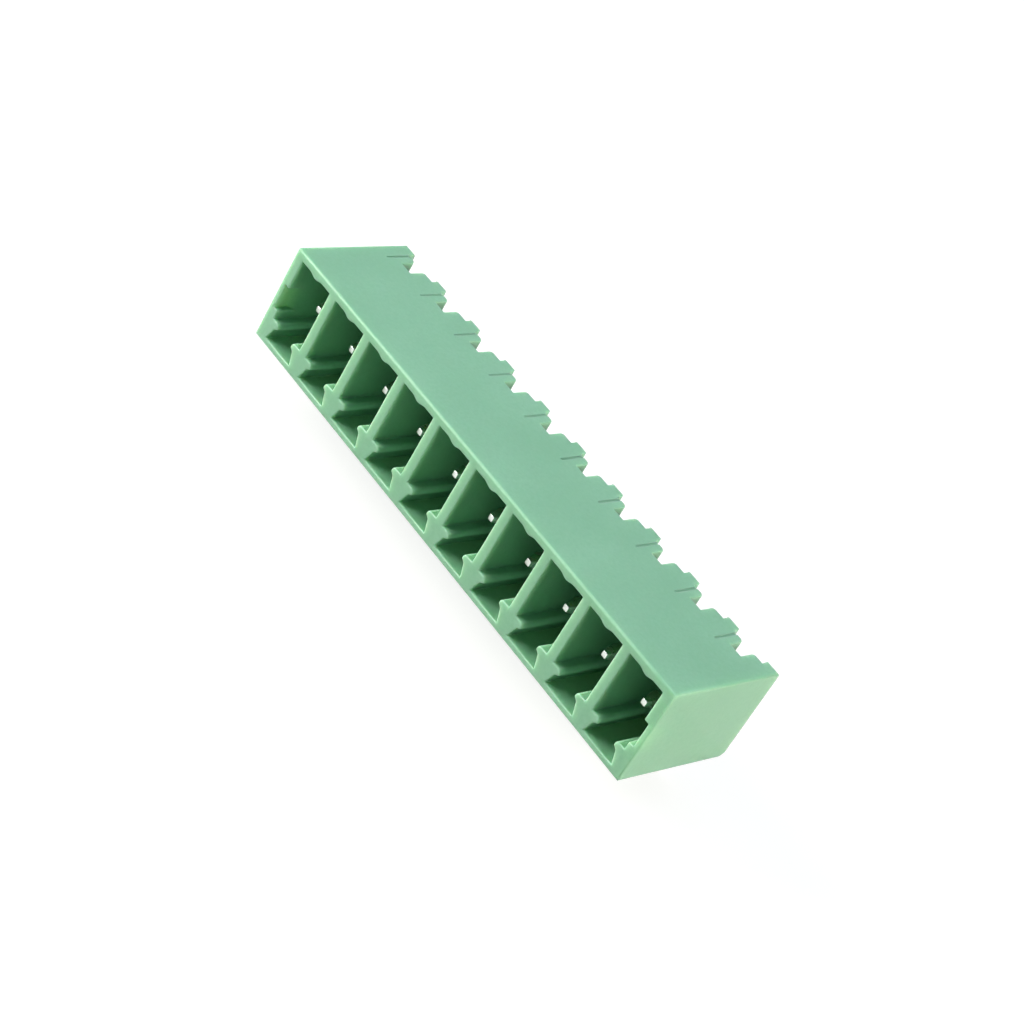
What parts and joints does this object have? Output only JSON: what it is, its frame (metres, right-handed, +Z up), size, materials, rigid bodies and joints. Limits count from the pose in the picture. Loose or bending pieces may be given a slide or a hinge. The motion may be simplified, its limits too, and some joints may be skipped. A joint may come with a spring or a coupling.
{
  "type": "pluggable terminal block header",
  "caption": "Right-angle board header of a pluggable terminal block: a green moulded housing, closed at both ends, with a row of open plug cavities and a bent square pin in each.",
  "frame": {"origin": "middle of the row of solder pins, on the housing's underside, which is the surface of the circuit board", "axes": "+X along the row to the right as seen from the open front, -Y out of the open front, +Z up away from the board"},
  "size_m": [0.0388, 0.0092, 0.01],
  "materials": {
    "housing": "green glass-free polyamide, moulded, faintly glossy and slightly translucent where it is thin",
    "pins": "drawn square brass wire with a bright tin plating"
  },
  "bodies": {
    "root": {"housing": "housing", "pin_1": "pins", "pin_2": "pins", "pin_3": "pins", "pin_4": "pins", "pin_5": "pins", "pin_6": "pins", "pin_7": "pins", "pin_8": "pins", "pin_9": "pins", "pin_10": "pins"}
  },
  "joints": []
}
